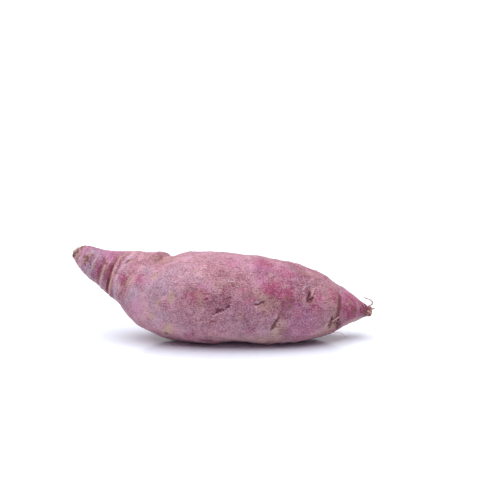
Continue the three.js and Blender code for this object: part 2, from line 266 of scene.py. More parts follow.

# Where the near side leans to each look: x, angle, length, breadth and strength of soft oval
# zones, from the stem end to the tail. Dust is the pale dry film: below zero it has worn away from
# the purple beneath. Some dust zones are painted light and shade instead, each marked below.
ZONES = {
    "dust_and_painted_light": (
        (-90, 215, 8, 7, 0.25), (-85.5, 129, 1.5, 1.5, 0.5), (-84, 130, 7, 7, 0.2),
        (-82.3, 142, 1.2, 5, 0.2), (-80, 118, 9, 9, -0.12), (-80, 198, 4, 5, 0.2),
        (-77.7, 179, 1.6, 7, -0.75), (-77, 134, 2.0, 8, 0.4), (-73, 183, 2, 5, -0.2),
        (-71.5, 203, 3, 6, 0.25), (-70.0, 164, 1.2, 8, -0.5), (-67.4, 183, 1.2, 7, 0.25),
        (-66, 117, 3, 5, -0.3), (-63.4, 182, 0.8, 6, 0.6), (-60, 116, 4, 9, 0.2),
        (-58.0, 170, 2.0, 4, -0.8), (-56, 105, 3, 6, 0.15), (-56, 180, 2, 4, -0.3),
        (-55.6, 153, 2.5, 5, -0.25), (-54.5, 164, 2, 5, 0.2), (-53, 174, 2, 5, -0.25),
        (-49.8, 156, 1.4, 3, -0.5), (-49, 182, 4, 6, 0.25), (-48, 118, 4, 8, 0.2),
        # (-45, 99) darkens the crease between the neck and the body: painted shade.
        (-45, 99, 7, 6, -0.3), (-44, 190, 4, 5, 0.15), (-41.5, 147, 3, 3, 0.15),
        (-41, 186, 4, 5, 0.12), (-38, 158, 7, 6, 0.2), (-37, 200, 5, 7, 0.3),
        # (-34, 175) lightens the left half of the near side: painted light from the left. (-31,
        # 222) lightens the belly's lower edge: painted light thrown up from the floor.
        (-34, 175, 16, 32, 0.16), (-31, 222, 12, 8, 0.35), (-30.5, 180, 3, 5, -0.35),
        (-27, 160, 7, 4, 0.2), (-17, 168, 5, 4, -0.3), (-16.5, 224, 3, 4, -0.45),
        (-13, 158, 10, 4, -0.2), (-11, 147, 4, 3, 0.2), (-10, 166, 5, 5, -0.2),
        # (-4, 218) lightens the belly's lower edge: painted light thrown up from the floor.
        (-8, 185, 4, 5, 0.15), (-4, 218, 8, 5, 0.2), (1, 166, 7, 5, -0.1), (4, 151, 6, 4, -0.35),
        (8.5, 179, 6, 6, -0.42), (9, 148, 6, 3, 0.1), (9, 216, 5, 5, -0.15), (12, 139, 10, 8, 0.12),
        # (15, 228) lightens the belly's lower edge: painted light from the floor.
        (15, 228, 26, 6, 0.15), (16, 186, 10, 4, -0.15), (20, 203, 3, 3, -0.15),
        (22, 184, 7, 4, -0.2), (23, 110, 5, 6, -0.3), (25, 150, 3, 5, -0.5), (26, 210, 8, 6, 0.15),
        (30, 120, 9, 10, 0.08), (31.6, 144, 5, 5, -0.14), (32.3, 190, 1.2, 3, 0.5),
        (33, 207, 2.5, 2.5, 0.35), (36, 219, 4, 6, -0.15), (38, 123, 4, 3, -0.15),
        # (42, 175) darkens the right half of the near side: painted shade, away from the light.
        (38, 144, 2, 6, -0.4), (38, 170, 4, 7, -0.9), (42, 175, 22, 26, -0.08),
        (44, 159, 3, 4, -0.25), (47, 116, 8, 8, -0.2), (52, 166, 4, 8, -0.2), (58, 149, 3, 4, -0.2),
        (62, 125, 6, 8, 0.15), (62, 218, 6, 12, 0.12), (63, 192, 3, 7, 0.25), (66, 134, 3, 6, -0.3),
        (68, 146, 2.5, 5, -0.25), (73.6, 134, 1.6, 8, 0.15), (74, 170, 2.5, 5, -0.2),
        (78, 164, 1.5, 2, 0.45), (79.5, 152, 1.5, 6, 0.1), (80, 160, 4, 6, -0.2),
        (82, 135, 9, 12, -0.28), (82, 176, 6, 6, -0.35), (83.5, 140, 1.0, 2, 0.4),
        (85, 150, 1.2, 2, 0.45), (86, 207, 4, 6, 0.3), (89.5, 165, 2.5, 8, -0.5),
        (91, 180, 4, 8, -0.3),
    ),
    "violet": (
        (-89.5, 136, 1.5, 1.5, 1.0), (-85.3, 206, 1.2, 1.2, 1.0), (-78.6, 185, 1.4, 4, 1.2),
        (-78, 118, 8, 5, 0.8), (-77, 165, 1.5, 4, 0.8), (-61, 165, 1.6, 5, 0.8),
        (-57.3, 135, 1.2, 2, 0.9), (-46, 200, 3, 12, 0.5), (-28, 179, 3, 2.5, 0.8),
        (-20, 213, 4, 4, 0.5), (-10, 152, 3.5, 3, 1.0), (2, 206, 3, 3, 0.6), (10, 130, 9, 6, 0.4),
        (16, 177, 3, 4, 0.8), (19, 209, 4, 4, 0.8), (25, 116, 9, 8, 0.7), (31.6, 144, 4, 5, 0.5),
        (40, 122, 7, 6, 0.6), (47, 176, 7, 8, 0.7), (50, 208, 9, 14, 0.6), (76, 118, 3, 5, 0.7),
        (83, 205, 5, 6, 0.5), (87, 172, 2, 4, 0.8),
    ),
    "crimson": (
        (-77, 176, 1.4, 6, 0.6), (-58.0, 169, 1.6, 4, 1.1), (-53.8, 178, 1, 1, 0.9),
        (-48.9, 156, 2.2, 3.5, 1.4), (-23, 193, 1.5, 6, 0.4), (-17.5, 226, 2.5, 4, 1.1),
        (-17, 167, 6, 5, 0.6), (-11, 159, 4, 4, 0.4), (-10, 166, 4, 5, 0.5), (1, 168, 7, 5, 0.5),
        (5, 120, 3.5, 4, 0.7), (7, 150, 5, 5, 0.3), (12, 157, 2.5, 4, 0.7), (15, 168, 3.5, 3, 0.6),
        (15, 207, 5, 5, 0.4), (19, 162, 4, 4, 0.6), (23, 108, 4, 4, 1.4), (25.5, 150, 3, 3.5, 1.5),
        (29, 116, 7, 4, 0.5), (29, 169, 4, 4, 0.4), (31, 143, 4, 5, 0.6), (31.6, 142, 4, 4, 0.3),
        (33, 156, 5, 3, 0.7), (36, 121, 4, 5, 0.6), (37.5, 122.5, 2.5, 1.5, 0.9),
        (38, 148, 4, 5, 0.6), (44, 180, 3, 5, 0.6), (46, 127, 4, 6, 0.35), (48, 218, 9, 9, 0.7),
        (55, 172, 11, 14, 0.35), (56, 158, 4, 6, 0.5), (58, 219, 4, 6, 0.5), (62, 146, 6, 6, 0.3),
        (66, 120, 2.5, 9, 0.6), (67, 146, 4, 6, 0.4), (69, 142, 2, 7, 0.7), (74, 165, 2.5, 8, 0.5),
        (79, 134, 7, 7, 1.1), (82, 192, 5, 7, 1.0), (86, 120, 5, 6, 0.6),
    ),
    "rose": (
        (-86, 112, 6, 9, 0.7), (-86, 148, 2, 6, 0.5), (-85, 98, 7, 8, 0.8), (-76, 120, 7, 11, 1.1),
        (-66, 112, 6, 8, 0.8), (-57, 130, 2, 5, 0.7), (-53, 150, 3, 5, 0.5), (-46, 157, 4, 4, 1.0),
        (-46, 188, 4, 6, 0.2), (-46, 198, 4, 10, 0.4), (-32, 208, 3, 4, 0.4), (-20, 222, 4, 4, 0.4),
        (-12, 155, 4, 3, 0.7), (-8, 167, 3, 3, 0.5), (3, 118, 8, 6, 0.7), (6, 142, 4, 3, 0.5),
        (14, 146, 3, 4, 0.5), (14, 182, 3, 3, 0.4), (18, 166, 5, 3, 0.6), (19, 209, 4, 5, 0.5),
        (22, 132, 5, 8, 0.7), (23, 112, 6, 9, 1.0), (33, 171, 4, 3, 0.7), (35, 122, 5, 9, 0.7),
        (41, 200, 6, 8, 0.5), (45, 140, 5, 6, 0.5), (50, 208, 8, 16, 0.5), (55, 184, 7, 8, 0.4),
        (60, 100, 8, 6, 0.5), (72, 196, 3, 6, 0.5), (75, 136, 5, 9, 0.9), (76, 168, 4, 9, 0.2),
        (82, 200, 3, 6, 0.4), (86, 112, 7, 9, 0.6),
    ),
    "lilac": (
        (-85, 130, 5, 6, 0.9), (-84, 198, 5, 5, 0.8), (-82, 148, 1.5, 5, 0.4),
        (-79, 118, 6, 12, 0.45), (-79, 208, 1.5, 7, 0.8), (-72.5, 192, 1.4, 6, 0.8),
        (-71, 212, 1.4, 6, 0.9), (-60.8, 198, 1.6, 7, 0.9), (-50, 190, 3, 10, 0.7),
        (-48, 136, 4, 5, 0.8), (-45, 168, 8, 9, 0.5), (-38, 160, 7, 14, 0.35),
        (-36.5, 176, 2.5, 3, 0.5), (-33, 132, 6, 14, 0.6), (-33, 205, 5, 10, 0.6),
        (-27, 166, 5, 5, 0.5), (-25, 188, 6, 6, 0.4), (-12, 203, 6, 3, 0.6), (-4, 116, 9, 7, 0.4),
        (2, 206, 3, 3, 0.5), (14, 202, 4, 4, 0.7), (15, 126, 4, 4, 0.5), (30, 190, 2.5, 2.5, 0.9),
        (40, 106, 4, 4, 0.7), (41, 190, 2, 2.5, 0.5), (42, 135, 2, 3, 0.6), (47.5, 126, 3, 3, 0.5),
        (52, 185, 3, 4, 0.6), (74.5, 128, 1.6, 8, 0.8),
    ),
    "tan": (
        (-91.8, 180, 1.5, 6, 0.8), (-86.6, 168, 2.0, 5, 0.9), (-79.6, 169, 1.5, 2.0, 1.3),
        (-74, 150, 1.2, 3, 0.8), (-66, 118, 3, 5, 0.6), (-59, 126, 1.2, 2, 1.0),
        (-57.6, 181, 1.8, 5, 0.7), (-54.4, 165, 1.6, 5, 1.0), (-44, 98, 7, 9, 0.9),
        (-41.5, 145, 2.5, 4, 0.6), (-37.5, 202, 2, 3, 0.8), (-35.5, 180, 2.5, 3, 0.9),
        (-33, 100, 6, 5, 0.5), (-30, 226, 1.6, 3, 0.8), (-28.6, 170, 2.4, 4, 1.2),
        (-28.6, 222, 2.0, 5, 1.3), (-27.4, 213, 1.6, 5, 1.4), (-14, 133, 5, 3, 0.4),
        (-13, 161, 6, 3, 0.5), (-11, 168, 3, 5, 1.1), (-1, 153, 4, 4, 0.5), (6, 146, 7, 3, 0.5),
        (6, 168, 7, 8, 0.35), (8, 208, 5, 4, 0.4), (8, 230, 9, 7, 0.5), (12, 184, 4, 4, 0.5),
        (23, 158, 6, 4, 0.6), (26, 173, 7, 6, 0.8), (27, 230, 10, 8, 0.7), (33.6, 206, 2.6, 4, 1.0),
        (35, 164, 5, 4, 0.5), (36, 216, 3, 8, 0.7), (37.5, 193, 2.5, 3, 0.6), (39, 175, 4, 5, 0.8),
        (47.5, 155, 3, 4, 0.5), (48, 110, 7, 5, 0.6), (48, 238, 8, 5, 0.7), (51, 168, 2.5, 4, 0.5),
        (62, 150, 4, 8, 0.4), (62, 225, 6, 6, 0.6), (67, 126, 3, 9, 0.3), (67, 206, 4, 6, 0.8),
        (68, 160, 2.4, 16, 0.5), (76, 117, 3, 3, 0.4), (76.5, 154, 2.5, 3, 0.5),
        (78.5, 140, 1.2, 2, 0.7), (80, 150, 1.2, 1.6, 0.9), (83, 220, 5, 4, 1.1),
        (84.5, 163, 1.2, 1.8, 0.8), (87, 140, 1.0, 2, 0.7), (88, 186, 1.8, 8, 0.4),
        (89.8, 154, 1.6, 3, 0.4),
    ),
    "rust": (
        (-94.2, 178, 1.2, 4.0, 0.9), (-88.1, 159, 0.8, 1.0, 0.9), (-86.4, 172, 1.4, 2.4, 0.7),
        (-79.6, 170, 1.0, 1.2, 0.8), (-75.4, 192, 0.8, 3, 0.8), (-57.6, 178, 1.0, 2, 0.6),
        (-29.2, 229, 1.2, 2.4, 1.0), (36.5, 157, 1.6, 1.6, 0.7), (39.2, 170, 1.6, 1.4, 0.9),
        (48.4, 189, 1.0, 0.8, 0.8), (51.5, 156, 1.2, 1.2, 0.6), (70.6, 203, 1.0, 2.4, 1.0),
        (76.3, 156, 1.3, 2.0, 0.7), (81.2, 170.5, 1.6, 1.6, 1.1), (85.7, 129, 0.6, 0.6, 0.8),
        (90.5, 157, 0.8, 0.8, 0.9), (91, 178, 1.4, 3.0, 0.9), (92.0, 205, 1.6, 3.0, 0.9),
    ),
}

# The looks of the far side, the top and the belly, where soft zones lie at random: the look, how
# many zones, their size in mm and their strength. Then the x and the angles that they lie between,
# and how far a length or a breadth may be from their size.
STREWN_ZONES = (
    ("dust_and_painted_light", 6, 12, 0.3), ("dust_and_painted_light", 7, 9, -0.3), ("violet", 6, 10, 0.7), ("crimson", 7, 7, 0.8),
    ("rose", 7, 9, 0.7), ("lilac", 6, 10, 0.7), ("tan", 9, 6, 0.8), ("rust", 6, 2.4, 0.8),
)
STREWN_X = (-90, 90)
STREWN_ANGLES = (262, 412)
STREWN_SHARES = (0.7, 1.3)

# The ridge that rings the neck where it meets the body, along which a pale band is painted as
# its highlight.
LIT_NECK_RIDGE = (
    (-59.3, 84, 1.6), (-60.2, 110, 1.6), (-61.6, 139, 1.1), (-62.4, 166, 0.9),
    (-62.2, 188, 0.9), (-60.8, 210, 1.1), (-60.0, 232, 1.2),
)
# Soft bands of a look that run with the furrows of the neck and the tail: the look, its strength,
# and the places the band runs through with the half width at each.
BANDS = (
    ("tan", 0.45, ((-62.7, 97, 1.6), (-65.6, 119, 1.3), (-66.2, 138, 1.1))),
    ("tan", 0.8, ((-66.2, 145, 0.7), (-65.8, 165, 1.0), (-65.4, 190, 1.1), (-65.8, 214, 1.1),
                  (-66.4, 240, 0.9))),
    # Painted highlight along the neck's ridge, in lilac and in dust.
    ("lilac", 0.45, LIT_NECK_RIDGE),
    ("dust_and_painted_light", 0.25, LIT_NECK_RIDGE),
    # Painted shade on the shadowed side of the step below the neck's ridge.
    ("dust_and_painted_light", -0.35, ((-62.0, 104, 1.0), (-64.6, 124, 0.9), (-64.0, 142, 0.8), (-63.8, 160, 0.7))),
    # The brown beds of the neck's furrows, with the groove's shade painted in.
    ("stain_and_shade", 0.55, ((-64.8, 156, 0.5), (-63.4, 170, 0.6), (-62.6, 186, 0.5), (-62.8, 220, 0.5))),
    ("stain_and_shade", 0.6, ((-68.5, 128, 0.6), (-68.9, 150, 0.8), (-69.2, 165, 0.9), (-68.9, 182, 1.0),
                    (-68.0, 202, 1.0), (-67.7, 216, 0.8))),
    ("crimson", 0.3, ((-71.0, 148, 0.8), (-70.2, 158, 1.0), (-69.4, 172, 0.9), (-69.4, 188, 0.6))),
    ("tan", 0.8, ((-74.2, 150, 0.6), (-74.0, 165, 0.7), (-73.8, 180, 0.8), (-73.4, 200, 0.6))),
    ("tan", 0.35, ((70.4, 110, 0.9), (69.6, 135, 1.1), (68.8, 160, 1.2), (67.6, 180, 1.0))),
    # The brown bed of the tail's furrow, with the shade of its step painted in.
    ("stain_and_shade", 0.7, ((71.6, 134, 0.5), (71.2, 148, 0.8), (70.3, 165, 1.1), (69.4, 185, 1.1),
                    (68.6, 200, 0.9))),
    ("dust_and_painted_light", 0.4, ((78.0, 226, 1.2), (82.5, 218, 1.2), (88.0, 212, 1.1), (91.5, 206, 0.9))),
)

# Hair rootlets: the place each leaves the skin, the offsets in mm that it passes through from
# there, its diameters at the skin and at the tip.
ROOTLETS = (
    ((51.7, 152), ((0, 0, 0), (1.0, 0.7, 2.2), (2.1, 2.0, 4.3), (3.3, 3.4, 6.3)), 1.2, 0.9),
    ((66.4, 197), ((0, 0, 0), (1.6, -1.2, 1.0), (3.4, -1.5, 2.1), (5.1, -1.3, 3.3)), 1.1, 0.8),
    ((64.5, 216), ((0, 0, 0), (4, -1.5, -0.6), (9, -1.8, -0.4), (13, -1.6, -3.6)), 0.45, 0.2),
    ((92.8, 100), ((0, 0, 0), (1.6, -0.6, 0.4), (3.0, -1.0, 1.3), (3.3, -1.0, 2.7),
                   (2.2, -0.9, 4.0), (0.2, -0.7, 4.9), (-1.9, -0.5, 5.6)), 1.0, 0.7),
    ((94.6, 110), ((0, 0, 0), (0.9, -0.5, 0.7), (1.6, -1.2, 0.0), (1.4, -1.8, -1.2)), 1.2, 0.8),
    ((93.2, 170), ((0, 0, 0), (0.4, -1.0, 0.3), (1.4, -1.5, -0.5), (2.4, -1.1, -1.3)), 1.2, 0.8),
    ((95.4, 150), ((0, 0, 0), (0.9, -0.6, 0.9), (1.9, 0.0, 1.3), (2.3, 0.9, 0.6)), 1.0, 0.7),
    ((95.0, 30), ((0, 0, 0), (1.4, 0.6, -0.2), (2.6, 0.8, -1.2)), 0.6, 0.3),
    ((-45.7, 335), ((0, 0, 0), (-1.5, 1.8, -0.6), (-2.0, 3.4, -2.6)), 0.9, 0.4),
    ((-14.0, 26), ((0, 0, 0), (1.2, 1.8, 1.2), (4.0, 2.6, 2.0)), 1.0, 0.5),
    ((33.8, 350), ((0, 0, 0), (-0.6, 2.4, -0.8), (-3.0, 4.6, -2.6), (-7, 5.2, -6)), 0.6, 0.2),
)

# How deep in the skin a rootlet starts.
ROOTLET_DEPTH = 0.8
# How far a rootlet's radius swells and shrinks along it, as a share, and a direction that no
# rootlet runs along, which its rings are turned from.
ROOTLET_KNOBBLE = 0.12
ROOTLET_SIDEWAYS = (0.31, 0.87, -0.38)

# ---- Layers of the skin's colour ----

# The random mottles: blotch size in mm, detail, and how far they are drawn out along the root.
SKIN_MOTTLES = {
    "broad": (26.0, 2.0, 1.2),
    "patchy": (10.0, 3.0, 1.2),
    "mottle": (4.0, 3.0, 1.2),
    "fleck": (1.3, 2.0, 1.6),
    "speck": (0.6, 2.0, 1.7),
    "grain": (0.7, 1.0, 1.1),
}
ROOTLET_MOTTLES = {"fibre": (1.2, 2.0, 1.0)}
# How far each mottle and each mask wears or thickens the dusty film, and the cover at which the
# film is all gone and at which it is whole.
FILM_COVER = {"broad": 0.8, "patchy": 1.5, "mottle": 1.0, "fleck": 1.3, "speck": 3.0}
# The dust mask thickens the film, and also lays its painted light and shade.
COVER_BY_MASK = {"dust_and_painted_light": 1.25, "tan": 0.2, "streak": 0.12}
COVER_RANGE = (-0.1, 1.35)
# The roughness of the bare periderm and of the film, and the height of the grain in mm.
SKIN_ROUGHNESS = (0.55, 0.8)
GRAIN_HEIGHT = {"fleck": 0.45, "speck": 0.35}
# Colour, mask, mottle, raggedness, where it starts and where it is full, and strength. A blank
# mask leaves a layer to its mottle alone.
PERIDERM_LAYERS = (
    ("violet", "blank", "patchy", 1.0, 0.04, 0.24, 0.7),
    ("crimson", "blank", "mottle", 1.0, 0.05, 0.26, 0.7),
    ("violet", "violet", "patchy", 1.5, 0.15, 0.75, 1.0),
    ("crimson", "crimson", "mottle", 1.5, 0.20, 0.80, 1.0),
)
FILM_LAYERS = (
    ("lilac", "blank", "broad", 1.0, 0.0, 0.22, 0.6),
    ("tan", "blank", "mottle", -1.0, 0.06, 0.26, 0.6),
    ("rose", "rose", "patchy", 1.5, 0.10, 1.0, 1.0),
    ("lilac", "lilac", "patchy", -1.5, 0.10, 1.0, 1.0),
    ("tan", "tan", "mottle", -1.5, 0.10, 0.90, 1.0),
)
MARK_LAYERS = (
    ("pit", "blank", "grain", 1.0, 0.14, 0.24, 0.2),
    # Pale flakes of film, which also serve as painted glints on the grain.
    ("flake_and_glint", "blank", "grain", -1.0, 0.13, 0.23, 0.6),
    ("tan", "tan", "fleck", 2.0, 0.40, 1.2, 0.25),
    ("rust", "rust", "fleck", 2.0, 0.25, 0.75, 0.8),
    ("ledge", "ledge", "fleck", 2.0, 0.40, 1.2, 0.4),
    # The furrows' brown beds, with the shade of the groove painted in.
    ("furrow", "stain_and_shade", "fleck", 2.0, 0.20, 0.85, 0.85),
    ("cork", "cork", "fleck", 2.0, 0.30, 0.80, 0.9),
    ("ring", "ring", "speck", 1.5, 0.30, 0.80, 0.8),
    ("cork", "pore", "speck", 1.0, 0.30, 0.70, 0.9),
    # Dark flesh with the shade of the groove painted in, over slits and cracks.
    ("crack_and_shade", "crack_and_shade", "speck", 3.0, 0.45, 0.90, 0.9),
    ("scratch", "scratch", "speck", 1.2, 0.40, 0.85, 0.8),
    ("stem", "stem", "fleck", 0.6, 0.30, 0.60, 0.95),
    ("scab", "rim", "fleck", 2.5, 0.30, 0.75, 0.9),
    ("knot", "knot", "fleck", 2.0, 0.30, 0.70, 0.9),
    # Pale bits on the tail's knot: painted highlights.
    ("flake_and_glint", "knot", "speck", 3.0, 1.1, 1.5, 0.7),
)
# The masks that the mesh holds besides the zones.
MARK_NAMES = (
    "blank", "streak", "stain_and_shade", "ledge", "crack_and_shade", "cork", "ring", "pore", "scratch", "stem", "rim",
    "knot",
)

# The overhead softbox stands a little to the left and in front. The camera aims at this place,
# in mm from the middle of the root's box.
LAMP_WAY = (-0.16, -0.10, 1.0)
AIM = (15.4, 3.1, 32.2)

# ---- Shape of the skin, in millimetres, as whole arrays over rings and sides ----


def bell(value):
    """A bell of height one at zero: e to the minus square of the value."""
    return np.exp(-value * value)


def smooth_step(value):
    """0 below zero, 1 above one, and between them three squares less two cubes."""
    share = np.clip(value, 0.0, 1.0)
    return share * share * (3.0 - 2.0 * share)


def turn_from(middle, angle):
    """The angle from one direction to another, from -180 to 180 degrees."""
    return (angle - middle + 180.0) % 360.0 - 180.0


def unit_vectors(vectors):
    """Each vector divided by its length."""
    return vectors / np.linalg.norm(vectors, axis=1)[:, None]


def catmull_rom(points, where):
    """The uniform Catmull-Rom curve through the points, its ends mirrored, at each parameter."""
    ends = np.vstack([2 * points[0] - points[1], points, 2 * points[-1] - points[-2]])
    first = np.clip(np.floor(where).astype(int), 0, len(points) - 2)
    t = (where - first)[:, None]
    a, b, c, d = ends[first], ends[first + 1], ends[first + 2], ends[first + 3]
    cubic = 3 * b - a - 3 * c + d
    return 0.5 * (2 * b + (c - a) * t + (2 * a - 5 * b + 4 * c - d) * t**2 + cubic * t**3)


def ripples(points, fields, waves=28):
    """Smooth random fields summed: each is sines of one wavelength in random directions, summed.

    A field is given by its wavelength in mm, its spread and its seed.
    """
    total = 0.0
    for size, spread, seed in fields:
        rng = np.random.default_rng(seed)
        ways = unit_vectors(rng.normal(size=(waves, 3))) * 2 * np.pi / size
        phases = rng.uniform(0, 2 * np.pi, waves)
        field = np.sqrt(2 / waves) * np.sin(points @ ways.T + phases).sum(axis=-1)
        total = total + spread * field
    return total


class Skin:
    """The grid that the root's skin is worked out on, with its relief and the masks of its looks.

    Rings are spread evenly along the outline of the root, and sides evenly round it. For each grid
    point it holds x, the place along the axis, angle, the direction round it, and girth, the half
    height there, which turns an angle into a length round the root. Smooth is its place before
    there is any relief.
    """

    def __init__(self, rings, sides):
        """Spreads the rings and sides, with no relief and empty masks.

        The outline is measured from the stem end to the tail as a chain of short steps, and the
        rings stand at equal shares of its length.
        """
        last = len(STATIONS) - 1
        fine = np.linspace(0, last, OUTLINE_STEPS)
        outline = catmull_rom(STATIONS, fine)[:, [0, 1, 2, 4]]
        steps = np.linalg.norm(np.diff(outline, axis=0), axis=1)
        length = np.concatenate([[0.0], np.cumsum(steps)])
        even = np.linspace(0, length[-1], rings + 2)
        where = np.interp(even, length, fine)
        profile = catmull_rom(STATIONS, where)
        self.axis = profile[:, :3]
        self.half_width = np.maximum(profile[:, 3:4], 0)
        self.half_height = np.maximum(profile[:, 4:5], 0)
        self.share_along = even / length[-1]
        ahead = catmull_rom(STATIONS[:, :3], np.minimum(where + TANGENT_STEP, last))
        behind = catmull_rom(STATIONS[:, :3], np.maximum(where - TANGENT_STEP, 0))
        tangent = unit_vectors(ahead - behind)
        self.far = unit_vectors(np.cross((0.0, 0.0, 1.0), tangent))
        self.up = np.cross(tangent, self.far)
        turn = np.linspace(0, 360, sides, endpoint=False)[None, :]
        # Adding nothing of the other direction spreads each over the whole grid.
        self.angle = turn + 0 * self.half_height
        self.x = self.axis[:, :1] + 0 * turn
        self.girth = self.half_height + 0 * turn
        self.relief = np.zeros_like(self.x)
        self.masks = {name: np.zeros_like(self.x) for name in (*ZONES, *MARK_NAMES)}
        self.smooth = self.surface()

    def surface(self):
        """Points on oval rings square to the axis, pushed out square to the oval by the relief."""
        cosine = np.cos(np.radians(self.angle))
        sine = np.sin(np.radians(self.angle))
        out_far = self.half_height * cosine
        out_up = self.half_width * sine
        # The oval has no size at the two ends, where there is no relief either.
        size = np.maximum(np.hypot(out_far, out_up), 1e-9)
        across = self.half_width * cosine + self.relief * out_far / size
        height = self.half_height * sine + self.relief * out_up / size
        points = self.axis[:, None] + self.far[:, None] * across[..., None]
        return points + self.up[:, None] * height[..., None]

    def round_from(self, angle):
        """The length round the root from a direction: the angle in radians times the girth."""
        return np.radians(turn_from(angle, self.angle)) * self.girth

    def patch(self, x, angle, length, breadth):
        """A soft oval patch: a bell along the axis times a bell round it."""
        return bell((self.x - x) / length) * bell(self.round_from(angle) / breadth)

    def path_gap(self, path):
        """How many half widths each point lies from a chain of straight, tapering stretches.

        The chain runs through (x, angle, half width) places. The gap is the distance over the skin
        to the nearest stretch, divided by the half width there.
        """
        nearest = np.full(self.x.shape, np.inf)
        for (x0, angle0, half0), (x1, angle1, half1) in zip(path[:-1], path[1:]):
            girth = np.interp(0.5 * (x0 + x1), self.axis[:, 0], self.half_height[:, 0])
            along = self.x - x0
            around = np.radians(turn_from(angle0, self.angle)) * girth
            way_x, way_round = x1 - x0, np.radians(angle1 - angle0) * girth
            share = (along * way_x + around * way_round) / (way_x**2 + way_round**2)
            share = np.clip(share, 0, 1)
            gap = np.hypot(along - share * way_x, around - share * way_round)
            nearest = np.minimum(nearest, gap / (half0 + share * (half1 - half0)))
        return nearest

    def mark(self, name, values):
        """Keeps the greater of a mask and the new values at each point."""
        self.masks[name] = np.maximum(self.masks[name], values)


def lay_body(skin):
    """Adds the relief that the solid has too, but for its furrows.

    Swells are a sine along x that twists round the root, and lobes a sine of three turns round it
    that winds along x. The crease is a bell, steep on the neck's side, times a bell round the top.
    """
    radians = np.radians(skin.angle)
    swell = SWELL["phase"] + SWELL["twist"] * np.sin(radians)
    lobes = LOBES["phase"] + LOBES["count"] * radians
    skin.relief += np.minimum(skin.girth / FULL_SWELL_HALF_HEIGHT, 1) * (
        SWELL["height"] * np.sin(skin.x / SWELL["reach"] + swell)
        + LOBES["height"] * np.sin(skin.x / LOBES["reach"] + lobes))

    turn = turn_from(CREASE["angle"], skin.angle)
    along = skin.x - CREASE["x"] - CREASE["lean"] * turn / 45
    length = np.where(along < 0, CREASE["neck_side"], CREASE["body_side"])
    skin.relief -= CREASE["depth"] * bell(along / length) * bell(turn / CREASE["breadth"])
    for x, angle, depth, length, breadth in DIMPLES:
        skin.relief -= depth * skin.patch(x, angle, length, breadth)


def lay_furrows(skin):
    """Adds the growth furrows, their brown beds with painted shade, and the pale skin that swells
    beside them.

    A bed's x is a parabola in the angle from its middle: lean for each 45 degrees, and bow for
    their square. Across it a bell is cut in and the lip, a bell beyond it, is raised. Both fade
    out span degrees from the middle.
    """
    wander = ripples(skin.smooth, FURROW_WANDER)
    for x, lean, bow, middle, span, depth, width, lip, brown in FURROWS:
        turn = turn_from(middle, skin.angle)
        eighths = turn / 45
        across = (skin.x - (x + lean * eighths + bow * eighths**2) + wander) / width
        fade = smooth_step(FURROW_FADE * (1 - np.abs(turn) / span))
        skin.relief += fade * (lip * bell(across - FURROW_LIP_PLACE) - depth * bell(across))
        # Brown with painted shade, along the bed.
        skin.mark("stain_and_shade", brown * np.sqrt(fade) * bell(across / FURROW_STAIN_AND_SHADE_BREADTH))
        beyond = (across - FURROW_LEDGE["place"]) / FURROW_LEDGE["breadth"]
        skin.mark("ledge", brown * fade * bell(beyond))


def lay_wrinkles(skin, strength):
    """Adds the fine wrinkles that ring the root, and the dents of random fields.

    The wrinkles are a random field drawn out several times as long round the root as along it,
    strong at the neck and the tail, and a quarter as strong along the top and the belly as on the
    sides. Dents and pebbles are random fields that run the same way all round.
    """
    cosine = np.cos(np.radians(skin.angle))
    sine = np.sin(np.radians(skin.angle))
    drawn_out = skin.girth / WRINKLE_STRETCH
    turned = np.stack([skin.x, drawn_out * cosine, drawn_out * sine], axis=-1)
    where = WRINKLED_BODY
    for x, reach, more in WRINKLED_ENDS:
        where = where + more * smooth_step((skin.x - x) / reach)
    rings = ripples(turned, WRINKLES) * where * (0.25 + 0.75 * cosine**2)
    skin.relief += WRINKLE_HEIGHT * strength * rings
    skin.relief += ripples(skin.smooth, DENTS) + strength * ripples(skin.smooth, PEBBLES)
    skin.masks["streak"] += rings


def lay_slits_and_pores(skin):
    """Adds the slits, pores and scratches.

    A slit is a bell-shaped groove with a low swollen edge. A pore is a ring raised round a dent.
    A scratch is only a pale mark. A random field makes their edges ragged.
    """
    ragged = ripples(skin.smooth, RAGGED_EDGE)
    for path, depth, brown in SLITS:
        gap = skin.path_gap(path) + ragged
        edge = bell((gap - SLIT_EDGE["place"]) / SLIT_EDGE["breadth"])
        skin.relief += SLIT_EDGE["height"] * edge - depth * bell(SLIT_STEEPNESS * gap)
        # The dark of the groove: flesh and painted shade, less of it where the slit is brown.
        skin.mark("crack_and_shade", (1 - BROWN_FOR_DARK * brown) * smooth_step(REACH["crack_and_shade"] - gap))
        skin.mark("cork", brown * smooth_step(REACH["cork"] - gap))
    for path in SCRATCHES:
        gap = skin.path_gap(path) + 0.5 * ragged
        skin.mark("scratch", smooth_step(REACH["scratch"] - gap))
    for x, angle, radius in LENTICELS:
        gap = np.hypot(skin.x - x, skin.round_from(angle)) + 0.3 * ragged
        skin.relief += PORE_RING["height"] * bell((gap - radius) / PORE_RING["breadth"])
        skin.relief -= PORE_DENT["depth"] * bell(gap / radius / PORE_DENT["breadth"])
        skin.mark("ring", smooth_step(1.6 * (REACH["ring"] - gap / radius)))
        skin.mark("pore", smooth_step(2.4 * (REACH["pore"] - gap / radius)))


